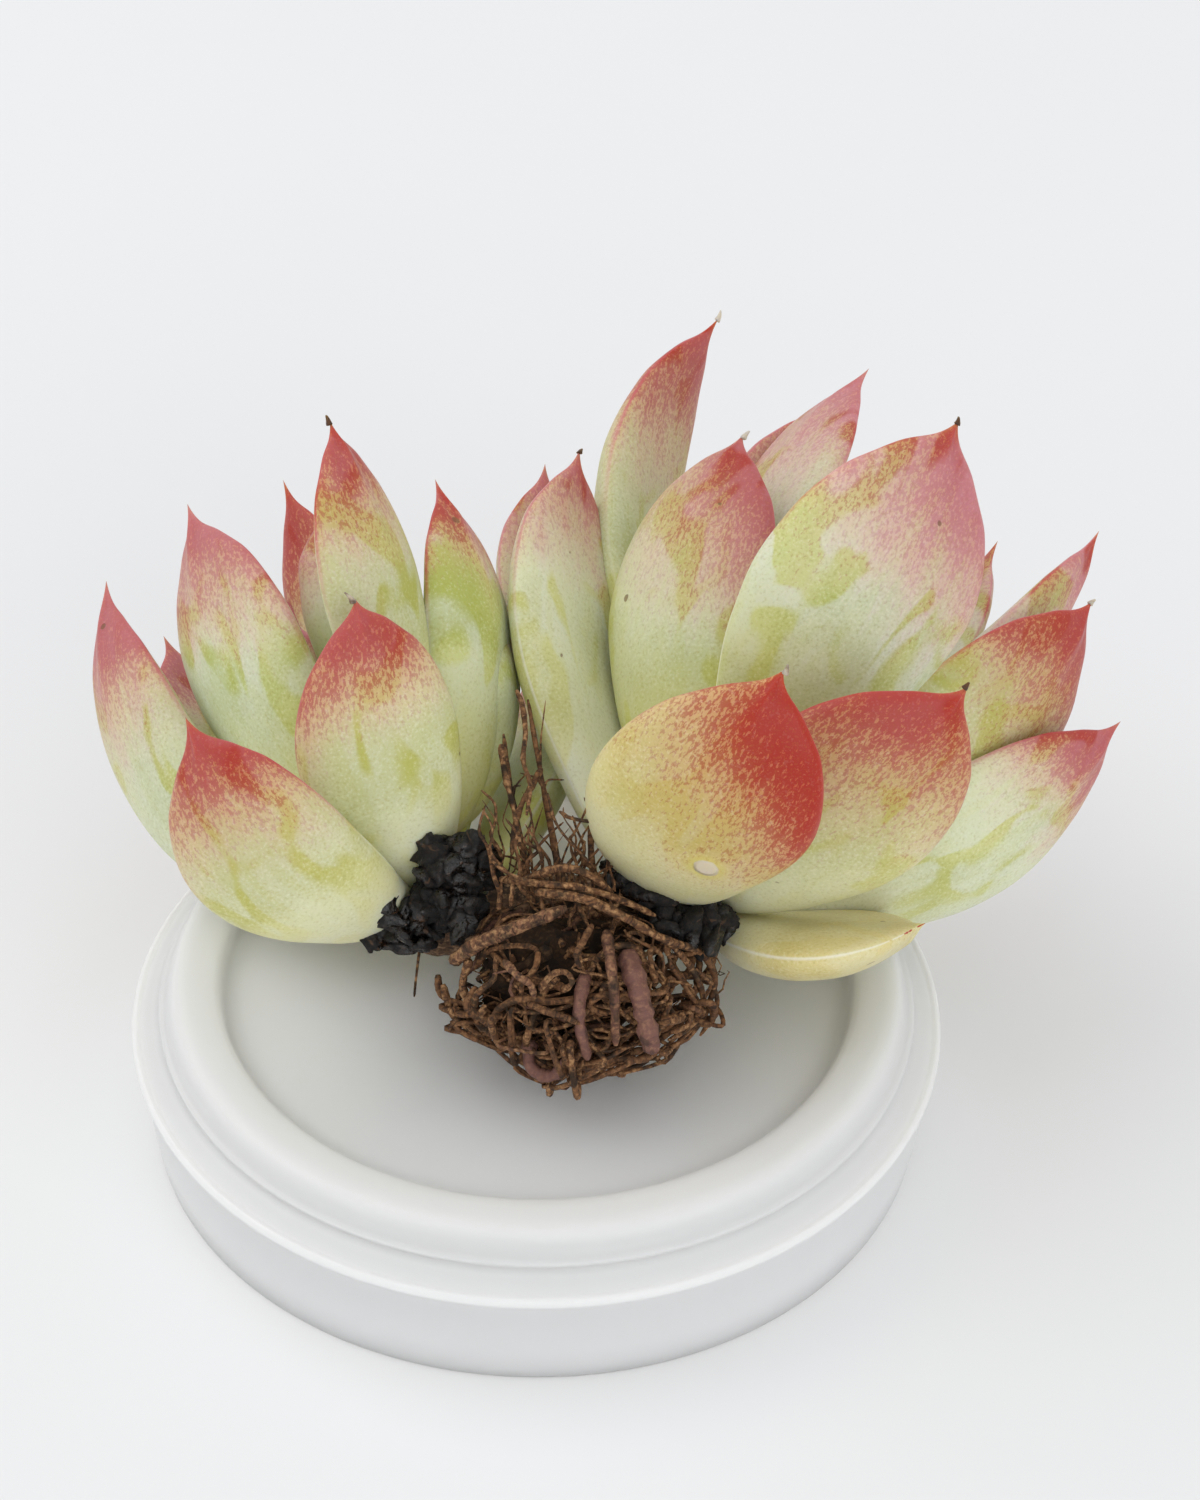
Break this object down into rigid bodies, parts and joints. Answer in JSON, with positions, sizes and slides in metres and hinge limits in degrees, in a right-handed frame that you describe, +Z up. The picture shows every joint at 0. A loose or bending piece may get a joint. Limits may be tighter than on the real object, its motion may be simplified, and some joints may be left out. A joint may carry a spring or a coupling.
{
  "type": "potted succulent",
  "caption": "Bare-rooted rosette succulent with two heads of fleshy, red-tipped leaves, leaning back on its root ball in a shallow frosted plastic dish.",
  "frame": {"origin": "middle of the bounding box's footprint, on the surface that the dish stands on", "axes": "+Z up; +X to the right along the width that the two heads span; +Y back, the way the plant leans"},
  "size_m": [0.1058, 0.1026, 0.0746],
  "materials": {
    "leaf_skin": "plump leaf with waxy bloom, pale yellow-green, red at tip and margin",
    "stem_bark": "short fleshy stem, brown-green, matt",
    "root_bark": "tangled brown roots, rough and dry",
    "peat": "black crumbs of peat, rough with a damp sheen",
    "frosted_plastic": "translucent frosted white moulded plastic, satin"
  },
  "bodies": {
    "root": {"dish": "frosted_plastic", "stem": "stem_bark", "root_ball": "root_bark", "loose_root_1": "root_bark", "loose_root_2": "root_bark", "loose_root_3": "root_bark", "peat_crumb_1": "peat", "peat_crumb_2": "peat", "right_leaf_01": "leaf_skin", "right_leaf_02": "leaf_skin", "right_leaf_03": "leaf_skin", "right_leaf_04": "leaf_skin", "right_leaf_05": "leaf_skin", "right_leaf_06": "leaf_skin", "right_leaf_07": "leaf_skin", "right_leaf_08": "leaf_skin", "right_leaf_09": "leaf_skin", "right_leaf_10": "leaf_skin", "right_leaf_11": "leaf_skin", "right_leaf_12": "leaf_skin", "right_leaf_13": "leaf_skin", "right_leaf_14": "leaf_skin", "right_leaf_15": "leaf_skin", "right_leaf_16": "leaf_skin", "right_leaf_17": "leaf_skin", "right_leaf_18": "leaf_skin", "right_leaf_19": "leaf_skin", "right_leaf_20": "leaf_skin", "right_leaf_21": "leaf_skin", "right_leaf_22": "leaf_skin", "right_leaf_23": "leaf_skin", "left_leaf_01": "leaf_skin", "left_leaf_02": "leaf_skin", "left_leaf_03": "leaf_skin", "left_leaf_04": "leaf_skin", "left_leaf_05": "leaf_skin", "left_leaf_06": "leaf_skin", "left_leaf_07": "leaf_skin", "left_leaf_08": "leaf_skin", "left_leaf_09": "leaf_skin", "left_leaf_10": "leaf_skin", "left_leaf_11": "leaf_skin", "left_leaf_12": "leaf_skin", "left_leaf_13": "leaf_skin", "left_leaf_14": "leaf_skin", "left_leaf_15": "leaf_skin", "left_leaf_16": "leaf_skin", "left_leaf_17": "leaf_skin"}
  },
  "joints": []
}
